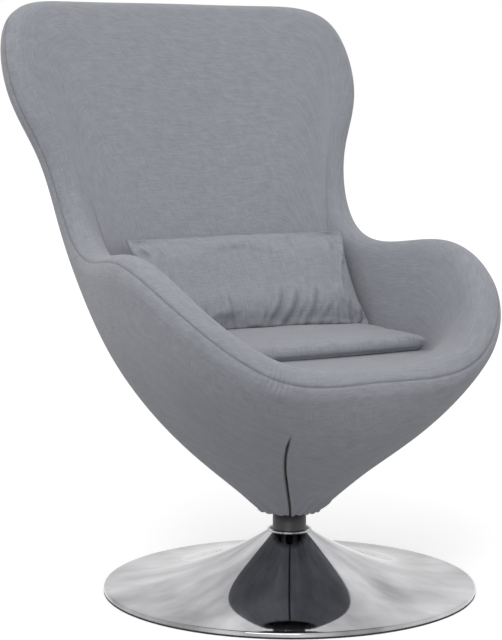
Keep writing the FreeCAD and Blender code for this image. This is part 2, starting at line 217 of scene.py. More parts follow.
def makeSurfaceGroup(form):
    group, entry, leave = makeGroup(
        "wearAndPaintedReflection",
        [
            ("Color", "NodeSocketColor", (0.5, 0.5, 0.5, 1)),
            ("Tone", "NodeSocketFloat", 0.1),
            ("Rough Low", "NodeSocketFloat", 0.2),
            ("Rough High", "NodeSocketFloat", 0.4),
            ("Grain", "NodeSocketFloat", 400.0),
            ("Smudge And Reflection Scale", "NodeSocketFloat", 14.0),
        ],
        [
            ("Color", "NodeSocketColor"), ("Roughness", "NodeSocketFloat"),
            ("Height", "NodeSocketFloat"),
        ])
    links = group.links
    coords = addNode(group, "ShaderNodeTexCoord")
    fine = addNode(group, "ShaderNodeTexNoise", {"Detail": 3.0, "Roughness": 0.6})
    broad = addNode(group, "ShaderNodeTexNoise", {"Detail": 4.0, "Roughness": 0.55})
    for noise, scale in ((fine, "Grain"), (broad, "Smudge And Reflection Scale")):
        links.new(coords.outputs["Object"], noise.inputs["Vector"])
        links.new(entry.outputs[scale], noise.inputs["Scale"])
    reach = addNode(
        group, "ShaderNodeMapRange",
        {"From Min": form["smudgeLow"], "From Max": form["smudgeHigh"]})
    links.new(broad.outputs[0], reach.inputs["Value"])
    links.new(entry.outputs["Rough Low"], reach.inputs["To Min"])
    links.new(entry.outputs["Rough High"], reach.inputs["To Max"])
    # Colour swings with both noises: smudges and wear, and on the chrome painted reflection
    wave = calc(
        group, "ADD", calc(group, "SUBTRACT", broad.outputs[0], 0.5),
        centred(group, fine.outputs[0], form["fineShare"]))
    gain = calc(group, "ADD", calc(group, "MULTIPLY", wave, entry.outputs["Tone"]), 1.0)
    links.new(scaleColor(group, entry.outputs["Color"], gain), leave.inputs["Color"])
    links.new(reach.outputs[0], leave.inputs["Roughness"])
    links.new(fine.outputs[0], leave.inputs["Height"])
    return group


# Soft rays from the swivel axis: fine polishing marks, and painted reflection, lighter and darker
# bands that the chrome would mirror
rayForm = {"scale": 2.6, "rise": 2.5}


def makeRayGroup(form):
    group, entry, leave = makeGroup(
        "polishAndReflectionRays",
        [
            ("Color", "NodeSocketColor", (0.5, 0.5, 0.5, 1)),
            ("Strength", "NodeSocketFloat", 0.3),
        ],
        [("Color", "NodeSocketColor")])
    links = group.links
    coords = addNode(group, "ShaderNodeTexCoord")
    split = addNode(group, "ShaderNodeSeparateXYZ")
    links.new(coords.outputs["Object"], split.inputs[0])
    flat = addNode(group, "ShaderNodeCombineXYZ")
    links.new(split.outputs["X"], flat.inputs["X"])
    links.new(split.outputs["Y"], flat.inputs["Y"])
    size = addNode(group, "ShaderNodeVectorMath", operation="LENGTH")
    links.new(flat.outputs[0], size.inputs[0])
    way = addNode(group, "ShaderNodeVectorMath", operation="NORMALIZE")
    links.new(flat.outputs[0], way.inputs[0])
    rise = addNode(group, "ShaderNodeCombineXYZ")
    links.new(calc(group, "MULTIPLY", size.outputs["Value"], form["rise"]), rise.inputs["Z"])
    place = addNode(group, "ShaderNodeVectorMath", operation="ADD")
    links.new(way.outputs[0], place.inputs[0])
    links.new(rise.outputs[0], place.inputs[1])
    rays = addNode(
        group, "ShaderNodeTexNoise", {"Scale": form["scale"], "Detail": 3.0, "Roughness": 0.55})
    links.new(place.outputs[0], rays.inputs["Vector"])
    wave = centred(group, rays.outputs[0], entry.outputs["Strength"])
    gain = calc(group, "ADD", wave, 1.0)
    links.new(scaleColor(group, entry.outputs["Color"], gain), leave.inputs["Color"])
    return group


surfaceGroup = makeSurfaceGroup(wearAndReflectionForm)
rayGroup = makeRayGroup(rayForm)

surfaceLooks = {
    "chrome": {
        # Painted reflection: the chrome's strong tone, broad patches and rays stand for what it
        # would mirror
        "color": (0.40, 0.40, 0.415), "metallic": 1.0, "tone": 0.8, "rough": (0.03, 0.08),
        "grain": 900.0, "smudgeAndReflectionScale": 5.0, "bump": 0.0, "rays": 2.2,
    },
    "blackEnamel": {
        "color": (0.032, 0.032, 0.034), "metallic": 0.0, "tone": 0.5, "rough": (0.35, 0.5),
        "grain": 700.0, "smudgeAndReflectionScale": 30.0, "bump": 0.08,
    },
    "zincSteel": {
        "color": (0.55, 0.55, 0.54), "metallic": 1.0, "tone": 0.3, "rough": (0.3, 0.5),
        "grain": 500.0, "smudgeAndReflectionScale": 60.0, "bump": 0.05,
    },
    "blackRubber": {
        "color": (0.022, 0.022, 0.022), "metallic": 0.0, "tone": 0.5, "rough": (0.65, 0.85),
        "grain": 900.0, "smudgeAndReflectionScale": 40.0, "bump": 0.2,
    },
    "bearingPlastic": {
        "color": (0.72, 0.71, 0.66), "metallic": 0.0, "tone": 0.12, "rough": (0.4, 0.55),
        "grain": 500.0, "smudgeAndReflectionScale": 50.0, "bump": 0.05,
    },
    "laminate": {
        "color": (0.55, 0.52, 0.40), "metallic": 0.0, "tone": 0.5, "rough": (0.35, 0.6),
        "grain": 180.0, "smudgeAndReflectionScale": 20.0, "bump": 0.3,
    },
}


def makeSurface(name, look):
    material, tree, shader = makeMaterial(name)
    smoothest, roughest = look["rough"]
    wearAndReflectionNode = useGroup(tree, surfaceGroup, {
        "Color": look["color"] + (1,), "Tone": look["tone"], "Rough Low": smoothest,
        "Rough High": roughest, "Grain": look["grain"], "Smudge And Reflection Scale": look["smudgeAndReflectionScale"],
    })
    tone = wearAndReflectionNode.outputs["Color"]
    # Rays on the chrome: polishing marks and painted reflection
    if "rays" in look:
        rays = useGroup(tree, rayGroup, {"Strength": look["rays"]})
        tree.links.new(tone, rays.inputs["Color"])
        tone = rays.outputs["Color"]
    tree.links.new(tone, shader.inputs["Base Color"])
    tree.links.new(wearAndReflectionNode.outputs["Roughness"], shader.inputs["Roughness"])
    shader.inputs["Metallic"].default_value = look["metallic"]
    if look["bump"]:
        addBump(tree, shader, wearAndReflectionNode.outputs["Height"], look["bump"], wearAndReflectionForm["bumpDepth"])
    return material


surfaces = {name: makeSurface(name, look) for name, look in surfaceLooks.items()}
nodeSurfaces = {
    "floor_pad": "blackRubber",
    "sleeve_bush": "bearingPlastic",
    "swivel_plate": "zincSteel",
    "keeper_nut": "zincSteel",
    "clamp_plate": "blackEnamel",
    "plate_bolts": "zincSteel",
    "moulded_shell": "laminate",
}
for node, surface in nodeSurfaces.items():
    nodes[node].data.materials.clear()
    nodes[node].data.materials.append(surfaces[surface])
print("materials made")


# Pieces and their meshes
def addObject(name, data):
    added = bpy.data.objects.new(name, data)
    bpy.context.scene.collection.objects.link(added)
    return added


def addPiece(name, bm, material, body, replaced):
    mesh = bpy.data.meshes.new(name)
    bm.to_mesh(mesh)
    bm.free()
    mesh.materials.append(material)
    for polygon in mesh.polygons:
        polygon.use_smooth = True
    piece = addObject(name, mesh)
    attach(piece, body)
    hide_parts(*replaced)
    return piece


def smooth(low, high, value):
    t = np.clip((value - low) / (high - low), 0.0, 1.0)
    return t * t * (3.0 - 2.0 * t)


def bell(value, width):
    return np.exp(-(value / width) ** 2)


def unit(a):
    return a / np.linalg.norm(a, axis=-1, keepdims=True)


def arcLengths(points, axis):
    steps = np.linalg.norm(np.diff(points, axis=axis), axis=-1)
    start = np.zeros_like(np.take(steps, [0], axis=axis))
    return np.concatenate([start, np.cumsum(steps, axis=axis)], axis=axis)


def softWaves(points, seed, size, count=18):
    # Smooth low undulation from a sum of plane waves, repeatable from its seed.
    rng = np.random.default_rng(seed)
    total = np.zeros(points.shape[:2])
    for _ in range(count):
        way = unit(rng.normal(size=3))
        pitch = size * rng.uniform(0.7, 1.5)
        total += np.sin(points @ way * (2 * math.pi / pitch) + rng.uniform(0, 7))
    return total / math.sqrt(count / 2.0)


def gridMesh(points, paintedShade=None, fixedRow=0):
    # A grid of rows round the piece. The first and last columns meet, and are welded.
    # The cloth's UV map is in metres from the fixed row and the middle column.
    high, wide = points.shape[:2]
    bm = bmesh.new()
    bmesh.ops.create_grid(bm, x_segments=wide - 1, y_segments=high - 1, size=1.0)
    across = arcLengths(points, 1)
    across = across - across[:, wide // 2][:, None]
    along = arcLengths(points, 0)
    along = along - along[fixedRow][None]
    layer = bm.loops.layers.uv.new("cloth")
    # Painted shade for the fabric's colour, one value a point
    dark = bm.verts.layers.float.new("paintedShade")
    spot = {}
    for vert in bm.verts:
        column = round((vert.co.x + 1.0) / 2.0 * (wide - 1))
        row = round((vert.co.y + 1.0) / 2.0 * (high - 1))
        spot[vert.index] = (row, column)
        vert.co = points[row, column]
        if paintedShade is not None:
            vert[dark] = float(paintedShade[row, column])
    for face in bm.faces:
        for loop in face.loops:
            row, column = spot[loop.vert.index]
            loop[layer].uv = (across[row, column], along[row, column])
    bmesh.ops.remove_doubles(bm, verts=bm.verts, dist=1e-6)
    bmesh.ops.dissolve_degenerate(bm, edges=bm.edges, dist=1e-7)
    return bm


# The shell. Its stops and formulas are those of the CAD part, read more finely.
shellForm = {
    "hemRadius": 52.0,
    "hemHeight": 132.0,
    "hemSlope": 0.865,
    "rimRadius": 31.0,
    "headRimRadius": 27.0,
    "seatHeight": 385.0,
    "seatCentreY": 20.0,
    "seamAngle": 49.0,
    "columns": 540,
    "zipColumns": 170,
    "zipSpan": (0.72, 0.45),  # from a share of the first run to a share of the second
}

# Each stop: centre, turn, tilt, wrap, hem, share of the head's rim radius,
# fullness at hem, rim, inner side and seat, and the seat's edge
stops = [
    ((0, -235, 356), 0, -20, 108, 0, 0.0, (1.1, 1.1, 0.45, 0.5), (0, -160)),
    ((172, -223, 381), 35, -34, 122, 26, 0.0, (1.15, 0.9, 0.5, 0.45), (120, -152)),
    ((265, -150, 460), 61, -20, 142, 51, 0.0, (1.1, 1.05, 0.6, 0.35), (190, -116)),
    ((289, -18, 522), 84, -12, 152, 80, 0.0, (1.14, 1.2, 0.7, 0.25), (216, -30)),
    ((267, 120, 512), 104, -6, 152, 101, 0.0, (1.06, 1.08, 0.6, 0.22), (214, 60)),
    ((249, 236, 551), 123, 1, 142, 118, 0.1, (1.03, 0.6, 0.45, 0.2), (204, 122)),
    ((268, 304, 698), 120, 1, 128, 133, 0.5, (1.2, 0.8, 0.35, 0.18), (180, 152)),
    ((310, 345, 830), 120, 6, 130, 151, 0.8, (1.12, 0.78, 0.4, 0.16), (140, 163)),
    ((298, 375, 895), 141, 12, 134, 163, 1.0, (1.1, 0.8, 0.45, 0.15), (98, 167)),
    ((194, 411, 922), 164, 8, 138, 171, 1.0, (1.09, 1.06, 0.55, 0.15), (50, 168)),
    ((0, 422, 923), 180, 11, 140, 180, 1.0, (1.08, 1.08, 0.65, 0.15), (0, 168)),
]


def mirrored(half):
    other = half[-2:0:-1] * np.array([-1.0, 1.0, 1.0])
    return np.concatenate([half, other])


def hermite(a, da, b, db, v):
    start = a * (2 * v**3 - 3 * v**2 + 1) + da * (v**3 - 2 * v**2 + v)
    return start + b * (3 * v**2 - 2 * v**3) + db * (v**3 - v**2)


class ShellFrame:
    # Rim centres, directions and fullness of all stops as arrays.
    def __init__(self, form):
        self.centre = np.array([s[0] for s in stops], float)
        turn, tilt, self.wrap, hem = np.radians(np.array([s[1:5] for s in stops], float)).T
        out = np.stack(
            [np.sin(turn) * np.cos(tilt), -np.cos(turn) * np.cos(tilt), np.sin(tilt)], 1)
        ring = mirrored(self.centre)
        along = unit(np.roll(ring, -1, 0) - np.roll(ring, 1, 0))[:len(stops)]
        self.out = unit(out - along * np.sum(out * along, 1, keepdims=True))
        self.crest = np.cross(self.out, along)
        share = np.array([s[5] for s in stops])[:, None]
        self.radius = form["rimRadius"] + (form["headRimRadius"] - form["rimRadius"]) * share
        away = np.stack([np.sin(hem), -np.cos(hem), 0 * hem], 1)
        self.hem = away * form["hemRadius"] + np.array([0, 0, form["hemHeight"]])
        self.hemWay = unit(away + np.array([0, 0, form["hemSlope"]]))
        self.seat = np.array([(*s[7], form["seatHeight"]) for s in stops], float)
        self.seatCentre = np.array([0, form["seatCentreY"], form["seatHeight"]])
        self.full = np.array([s[6] for s in stops], float)[:, :, None]
        closed = np.concatenate([ring, ring[:1]])
        steps = np.linalg.norm(np.diff(closed, axis=0), axis=1)
        lengths = np.concatenate([[0.0], np.cumsum(steps)])
        self.places = lengths / lengths[-1]

    def overRim(self, angle):
        # The angle may differ from stop to stop.
        angle = np.broadcast_to(angle, (len(stops),))[:, None]
        return self.centre + (self.out * np.cos(angle) + self.crest * np.sin(angle)) * self.radius

    def overRimWay(self, angle):
        angle = angle[:, None]
        return self.crest * np.cos(angle) - self.out * np.sin(angle)

    def outer(self, v):
        end = self.overRim(0.0)
        span = np.linalg.norm(end - self.hem, axis=1, keepdims=True)
        leave = self.hemWay * span * self.full[:, 0]
        return hermite(self.hem, leave, end, self.crest * span * self.full[:, 1], v)

    def inner(self, v):
        start = self.overRim(self.wrap)
        span = np.linalg.norm(start - self.seat, axis=1, keepdims=True)
        leave = self.overRimWay(self.wrap) * span * self.full[:, 2]
        land = unit(self.seatCentre - self.seat) * span * self.full[:, 3]
        return hermite(start, leave, self.seat, land, v)

    def rings(self, levels, places):
        # Periodic cubic splines through the stops at every level, read at places from 0 to 1.
        points = np.array([mirrored(level) for level in levels])
        n, gap = points.shape[1], np.diff(self.places)
        system = np.zeros((n, n))
        turn = np.zeros_like(points)
        for i in range(n):
            back, ahead = gap[i - 1], gap[i]
            system[i, i - 1] += back
            system[i, i] += 2.0 * (back + ahead)
            system[i, (i + 1) % n] += ahead
            rise = (points[:, (i + 1) % n] - points[:, i]) / ahead
            turn[:, i] = 6.0 * (rise - (points[:, i] - points[:, i - 1]) / back)
        bend = np.einsum("ij,ljk->lik", np.linalg.inv(system), turn)
        i = np.clip(np.searchsorted(self.places, places, side="right") - 1, 0, n - 1)
        j, h = (i + 1) % n, gap[i][None, :, None]
        b = ((places - self.places[i]) / gap[i])[None, :, None]
        a = 1.0 - b
        curve = a * points[:, i] + b * points[:, j]
        return curve + ((a**3 - a) * bend[:, i] + (b**3 - b) * bend[:, j]) * h**2 / 6.0


shellFrame = ShellFrame(shellForm)


def columnPlaces(form):
    # Evenly spread columns, and more of them where the zip runs.
    corner, knee = shellFrame.places[1:3]
    first, last = form["zipSpan"]
    zipRun = np.linspace(first * corner, corner + last * (knee - corner), form["zipColumns"])
    even = np.linspace(0.0, 1.0, form["columns"] + 1)
    return np.unique(np.round(np.concatenate([even, 1.0 - zipRun]), 6))


columns = columnPlaces(shellForm)


def surfaceWays(points):
    # Outward directions of a closed grid of rows.
    ring = points[:, :-1]
    along = np.roll(ring, -1, 1) - np.roll(ring, 1, 1)
    across = np.gradient(ring, axis=0)
    ways = unit(np.cross(along, across))
    return np.concatenate([ways, ways[:, :1]], 1)


upholstery = {
    "outerRows": 88,
    "innerRows": 50,
    "outerRimRows": (16, 1.7),  # how many, and how much closer near the seam
    "innerRimRows": (20, 1.5),
    "seamDepth": 1.7,
    "seamWidth": 2.4,
    "seamShade": 0.28,
    "seamShadeWidth": 1.5,
    "gatherDepth": 0.65,
    "gatherInner": 0.7,  # share of the gathers on the inner panel
    "gatherPitch": 9.0,
    "gatherDrift": (1.7, 17.0),  # how uneven the pleats are, and over what length
    "gatherReach": 17.0,
    "gatherSpread": 30.0,
    "cornerX": 176.0,
    "ease": 0.7,
    "easeInner": 0.8,
    "easeSize": (230.0, 260.0),
    "tautAtSeam": 40.0,
    "zipLine": ((132.0, -30.0), (205.0, -33.8), (300.0, -30.4)),  # height, angle
    "zipTop": 300.0,
    "zipFade": 30.0,
    "zipSector": 60.0,
    "zipDepth": 7.0,
    "zipWidth": 2.1,
    "zipShade": 0.94,
    "zipOpen": (0.6, 0.25),  # the painted shade's share of the groove's width, and more where it is open
    "zipLip": 1.6,
    "zipLipWidth": 8.0,
    "pucker": 0.55,
    "puckerPitch": 6.5,
    "puckerDrift": (1.3, 19.0),
    "puckerReach": 13.0,
    "hemFold": 1.1,
    "hemFoldHeight": 26.0,
    "hemFoldCount": 19.0,
    "hemFoldDrift": (2.0, 3.0),
    "hemTurn": ((-1.2, -3.0), (-4.5, -4.0), (-8.0, -2.0), (-9.0, 6.0), (-9.0, 22.0)),
    "tuck": (3.0, 7.0),
    "tuckRun": 7.05,  # along the tucked edge to the seam
    "seatShares": (0.12, 0.3, 0.5, 0.7, 0.88, 1.0),
    "dents": (  # angle round the axis, height, rise, half width, half height
        (60.0, 267.0, 2.8, 26.0, 6.0), (60.0, 256.0, -1.8, 24.0, 4.5),
        (50.0, 141.0, 3.6, 13.0, 6.5), (20.0, 150.0, 1.2, 9.0, 14.0),
        (-55.0, 152.0, 1.3, 8.0, 15.0), (150.0, 150.0, 1.3, 10.0, 14.0),
        (-120.0, 158.0, 1.2, 9.0, 16.0),
    ),
}


def gatherField(points, fromSeam, form):
    # Short pleats across the seam at the two front corners of the rim.
    seamLine = points[np.argmin(np.abs(fromSeam[:, 0]))]
    along = arcLengths(seamLine[None], 1)[0]
    swing, run = form["gatherDrift"]
    field = np.zeros(points.shape[:2])
    for side in (1, -1):
        toCorner = np.abs(seamLine[:, 0] - side * form["cornerX"])
        toCorner[seamLine[:, 1] >= 0] = math.inf
        away = along - along[np.argmin(toCorner)]
        wave = np.cos(2 * math.pi * away / form["gatherPitch"] + swing * np.sin(away / run))
        field += (bell(away, form["gatherSpread"]) * wave)[None]
    fade = bell(fromSeam, form["gatherReach"]) * smooth(0.0, 3.0, np.abs(fromSeam) + 1.0)
    return field * fade * form["gatherDepth"]


def zipPlaces(points, form):
    # Distance from the zip's line along the surface, and how open the slit is there.
    x, y, z = points[..., 0], points[..., 1], points[..., 2]
    heights, angles = zip(*form["zipLine"])
    line = np.polyval(np.polyfit(heights, angles, 2), np.minimum(z, heights[-1]))
    turn = np.degrees(np.arctan2(x, -y)) - line
    away = np.where(np.abs(turn) < form["zipSector"], np.radians(turn) * np.hypot(x, y), 1e3)
    return away, smooth(form["zipTop"], form["zipTop"] - form["zipFade"], z)


def makeOuterPanel():
    form, work = shellForm, upholstery
    levels = [shellFrame.outer(v) for v in np.linspace(0.0, 1.0, work["outerRows"])[:-1]]
    rows, closer = work["outerRimRows"]
    overRim = 1.0 - np.linspace(1.0, 0.0, rows) ** closer
    levels += [shellFrame.overRim(a) for a in math.radians(form["seamAngle"]) * overRim]
    points = shellFrame.rings(levels, columns)
    ways = surfaceWays(points)
    height = points[..., 2]
    turn = np.arctan2(points[..., 0], -points[..., 1])
    fromSeam = arcLengths(points, 0)
    fromSeam = fromSeam[-1] - fromSeam
    taut = smooth(0.0, work["tautAtSeam"], fromSeam)
    lift = -work["seamDepth"] * bell(fromSeam, work["seamWidth"])
    lift += gatherField(points, fromSeam, work)
    lift += work["ease"] * softWaves(points, 4, work["easeSize"][0]) * taut
    # The zip's slit, with soft lips and small puckers beside it
    away, openness = zipPlaces(points, work)
    lift -= work["zipDepth"] * bell(away, work["zipWidth"]) * openness
    lift += work["zipLip"] * bell(away, work["zipLipWidth"]) * openness
    swing, run = work["puckerDrift"]
    pucker = np.sin(height / work["puckerPitch"] + swing * np.sin(height / run))
    lift += work["pucker"] * (pucker * np.exp(-np.abs(away) / work["puckerReach"]) * openness)
    # Painted shade: the colour darkens in the zip's slit and in a band along the seam
    least, more = work["zipOpen"]
    slit = np.exp(-(away / (work["zipWidth"] * (least + more * openness))) ** 4) * openness
    paintedShade = np.maximum(
        work["zipShade"] * slit, work["seamShade"] * bell(fromSeam, work["seamShadeWidth"]))
    nearHem = bell(height - form["hemHeight"], work["hemFoldHeight"])
    swing, times = work["hemFoldDrift"]
    folds = np.sin(turn * work["hemFoldCount"] + swing * np.sin(turn * times))
    lift += work["hemFold"] * nearHem * folds
    for angle, level, rise, wide, tall in work["dents"]:
        across = (turn - math.radians(angle)) * np.hypot(points[..., 0], points[..., 1])
        lift += rise * np.exp(-(across / wide) ** 2 - ((height - level) / tall) ** 2)
    points = points + ways * lift[..., None]
    # The hem turns under, and the seam allowance turns in
    outward = unit(points[0] * np.array([1, 1, 0]))
    turned = [points[0] + outward * d + np.array([0, 0, h]) for d, h in work["hemTurn"]]
    tucked = [points[-1] - ways[-1] * d for d in work["tuck"]]
    points = np.concatenate([np.array(turned[::-1]), points, np.array(tucked)])
    paintedShade = np.pad(paintedShade, ((len(turned), len(tucked)), (0, 0)), mode="edge")
    return addPiece(
        "outer_panel", gridMesh(points * mm, paintedShade, -1), fabric, "shell",
        ("outer_cover", "moulded_foam"))


def makeInnerPanel():
    work = upholstery
    seamAt = math.radians(shellForm["seamAngle"])
    rows, closer = work["innerRimRows"]
    shares = np.linspace(0.0, 1.0, rows) ** closer
    levels = [shellFrame.overRim(seamAt + (shellFrame.wrap - seamAt) * s) for s in shares]
    levels += [shellFrame.inner(v) for v in np.linspace(0.0, 1.0, work["innerRows"])[1:]]
    points = shellFrame.rings(levels, columns)
    ways = surfaceWays(points)
    ways[-1] = (0, 0, 1)
    fromSeam = arcLengths(points, 0)
    taut = smooth(0.0, work["tautAtSeam"], fromSeam)
    lift = -work["seamDepth"] * bell(fromSeam, work["seamWidth"])
    lift += gatherField(points, fromSeam, work) * work["gatherInner"]
    lift += work["ease"] * work["easeInner"] * softWaves(points, 9, work["easeSize"][1]) * taut
    points = points + ways * lift[..., None]
    # The seam allowance turns in, and the flat seat closes towards its centre
    tucked = [points[0] - ways[0] * d for d in work["tuck"][::-1]]
    toCentre = shellFrame.seatCentre - points[-1]
    seat = [points[-1] + toCentre * s for s in work["seatShares"]]
    points = np.concatenate([np.array(tucked), points, np.array(seat)])
    # Painted shade in a band along the seam
    alongCut = arcLengths(points, 0) - work["tuckRun"]
    paintedShade = work["seamShade"] * bell(alongCut, work["seamShadeWidth"])
    return addPiece(
        "inner_panel", gridMesh(points * mm, paintedShade), fabric, "shell",
        ("inner_cover",))


outerPanel = makeOuterPanel()
innerPanel = makeInnerPanel()
print("shell covered")


# Turned pieces: a profile of (radius, height) in millimetres, spun about the swivel axis
def spunMesh(profile, steps, closed):
    bm = bmesh.new()
    verts = [bm.verts.new((r * mm, 0.0, z * mm)) for r, z in profile]
    edges = [bm.edges.new(pair) for pair in zip(verts, verts[1:])]
    if closed:
        edges.append(bm.edges.new((verts[-1], verts[0])))
    bmesh.ops.spin(
        bm, geom=verts + edges, cent=(0, 0, 0), axis=(0, 0, 1), angle=2 * math.pi, steps=steps,
        use_merge=True)
    bmesh.ops.remove_doubles(bm, verts=bm.verts, dist=1e-6)
    bmesh.ops.recalc_face_normals(bm, faces=bm.faces)
    return bm


def arcPoints(r, z, radius, angles):
    return [(r + radius * math.cos(a), z + radius * math.sin(a)) for a in np.radians(angles)]


foot = {
    "radius": 300.0,
    "edgeHeight": 9.5,
    "edgeRound": 3.0,
    "sheet": 2.0,
    "height": 97.0,
    "neckRadius": 33.5,
    "flare": 2.05,
    "lipRoll": 2.2,
    "rest": 2.5,
    "steps": 192,
    "lipPoints": 13,
    "topPoints": 44,
    "edgePoints": 8,
    "underPoints": 30,
    "closer": 1.6,  # points lie closer together near the neck
}


def dishHeight(r):
    s = (foot["radius"] - r) / (foot["radius"] - foot["neckRadius"])
    return foot["edgeHeight"] + (foot["height"] - foot["edgeHeight"]) * s ** foot["flare"]


def makeDish():
    radius, neck, sheet, rest = (foot[key] for key in ("radius", "neckRadius", "sheet", "rest"))
    edgeRound, closer = foot["edgeRound"], foot["closer"]
    edge = radius - edgeRound
    low = dishHeight(edge) - edgeRound
    # From the rolled lip's inner side over its top, out to the edge, and back under the sheet
    lipTurns = np.linspace(200.0, -40.0, foot["lipPoints"])
    profile = arcPoints(neck + 0.2, foot["height"], foot["lipRoll"], lipTurns)
    for s in np.linspace(0.0, 1.0, foot["topPoints"]) ** closer:
        r = neck + 0.6 + (edge - neck - 0.6) * s
        profile.append((r, dishHeight(r)))
    profile += arcPoints(edge, low, edgeRound, np.linspace(78.75, 0.0, foot["edgePoints"]))
    profile += [(radius, rest + 0.6), (radius - 0.4, rest + 0.1)]
    profile += [(radius - sheet, rest + 0.1), (radius - sheet, low)]
    for s in np.linspace(1.0, 0.0, foot["underPoints"]) ** closer:
        r = neck + (edge - neck) * s
        slope = dishHeight(r + 0.5) - dishHeight(r - 0.5)
        size = math.hypot(slope, 1.0)
        profile.append((r + slope / size * sheet, dishHeight(r) - sheet / size))
    addPiece(
        "foot_dish", spunMesh(profile, foot["steps"], True), surfaces["chrome"], "base",
        ("foot_trumpet",))


column = {
    "radius": 27.0,
    "wall": 3.0,
    "top": 196.0,
    "collarTop": 98.1,
    "collarHeight": 6.5,
    "collarRadius": 31.3,
    "low": 2.5,
    "plateTop": 7.0,
    "plateRadius": 284.0,
    "edge": 0.6,
    "plateEdge": 0.5,
    "steps": 128,
}


def makeColumn():
    r, top, edge, low = (column[key] for key in ("radius", "top", "edge", "low"))
    collar, collarTop = column["collarRadius"], column["collarTop"]
    under = collarTop - column["collarHeight"]
    plate, plateTop, plateEdge = (column[key] for key in ("plateRadius", "plateTop", "plateEdge"))
    bore = r - column["wall"]
    # The ballast plate from its middle out and back, up the post past its collar, down the bore
    profile = [
        (0.0, low), (plate - plateEdge, low), (plate, low + plateEdge),
        (plate, plateTop - plateEdge), (plate - plateEdge, plateTop),
        (r + 3.0, plateTop), (r + 0.8, plateTop + 0.8), (r, plateTop + 3.0),
        (r, under), (collar - edge, under), (collar, under + edge),
        (collar, collarTop - edge), (collar - edge, collarTop),
        (r + 0.4, collarTop), (r, collarTop + 0.4), (r, top - edge), (r - edge, top),
        (bore, top), (bore, plateTop), (0.0, plateTop),
    ]
    addPiece(
        "column_post", spunMesh(profile, column["steps"], False), surfaces["blackEnamel"],
        "base", ("column_base",))


makeDish()
makeColumn()
print("foot turned")


# Cushions: closed forms, blown up by a cloth simulation and set against their neighbours
def clothUv(mesh):
    # UV in metres: the face's main direction decides which two axes it is laid out on.
    layer = mesh.uv_layers.get("cloth") or mesh.uv_layers.new(name="cloth")
    for polygon in mesh.polygons:
        n = polygon.normal
        for i in polygon.loop_indices:
            p = mesh.vertices[mesh.loops[i].vertex_index].co
            if abs(n.z) >= abs(n.x) and abs(n.z) >= abs(n.y):
                layer.data[i].uv = (p.x, p.y)
            elif abs(n.y) >= abs(n.x):
                layer.data[i].uv = (p.x, p.z)
            else:
                layer.data[i].uv = (p.y, p.z)


def readVectors(rows, name):
    flat = np.empty(len(rows) * 3)
    rows.foreach_get(name, flat)
    return flat.reshape(-1, 3)


def vertexArray(piece):
    return readVectors(piece.data.vertices, "co")


def vertexWays(piece):
    return readVectors(piece.data.vertex_normals, "vector")


def setVertices(piece, places):
    piece.data.vertices.foreach_set("co", places.ravel())
    piece.data.update()


def setPaintedShade(piece, values):
    # Painted shade kept on the mesh, which darkens the fabric's colour
    layers = piece.data.attributes
    layer = layers.get("paintedShade") or layers.new("paintedShade", "FLOAT", "POINT")
    layer.data.foreach_set("value", np.clip(values, 0.0, 1.0).astype(np.float32))


clothSettings = {
    "quality": 6,
    "tension_stiffness": 25,
    "compression_stiffness": 25,
    "shear_stiffness": 8,
    "mass": 0.3,
}


def inflate(piece, held, work):
    # Cloth under pressure. Held points stay, and every other point's move is capped.
    start = vertexArray(piece)
    group = piece.vertex_groups.new(name="held")
    group.add([int(i) for i in np.where(held)[0]], 1.0, "REPLACE")
    settings = piece.modifiers.new("cloth", "CLOTH").settings
    for key, value in clothSettings.items():
        setattr(settings, key, value)
    settings.vertex_group_mass = "held"
    settings.use_pressure = True
    settings.uniform_pressure_force = work["pressure"]
    settings.effector_weights.gravity = 0.0
    settings.shrink_min = -work["slack"]
    settings.bending_stiffness = work["stiffness"]
    scene = bpy.context.scene
    for step in range(1, work["frames"] + 1):
        scene.frame_set(step)
    evaluated = piece.evaluated_get(bpy.context.evaluated_depsgraph_get())
    move = readVectors(evaluated.to_mesh().vertices, "co") - start
    evaluated.to_mesh_clear()
    piece.modifiers.clear()
    piece.vertex_groups.clear()
    size = np.linalg.norm(move, axis=1, keepdims=True)
    share = np.minimum(1.0, work["cap"] * mm / np.maximum(size, 1e-9))
    setVertices(piece, start + move * share)
    scene.frame_set(1)


def refine(piece):
    # One level of subdivision, applied.
    piece.modifiers.new("finer", "SUBSURF").levels = 1
    evaluated = piece.evaluated_get(bpy.context.evaluated_depsgraph_get())
    mesh = bpy.data.meshes.new_from_object(evaluated)
    old, name = piece.data, piece.data.name
    piece.modifiers.clear()
    piece.data = mesh
    bpy.data.meshes.remove(old)
    mesh.name = name


def keepClear(piece, others, gap, reach):
    # Points that come too near a neighbour's surface are set back to the gap from it.
    places = vertexArray(piece)
    for other in others:
        tree = BVHTree.FromObject(other, bpy.context.evaluated_depsgraph_get())
        for i, place in enumerate(places):
            near, way = tree.find_nearest(Vector(place), reach * mm)[:2]
            if near is not None and (Vector(place) - near).dot(way) < gap * mm:
                places[i] = near + way * gap * mm
    setVertices(piece, places)


# A crease's bow sideways, how it dies out at its ends, and the ridges beside it
foldForm = {
    "bow": 2.5,
    "bowTurns": 3.0,
    "startFade": (-0.25, 0.25),
    "endFade": (1.2, 0.85),
    "ridge": 0.55,
    "ridgeAt": 1.9,
}


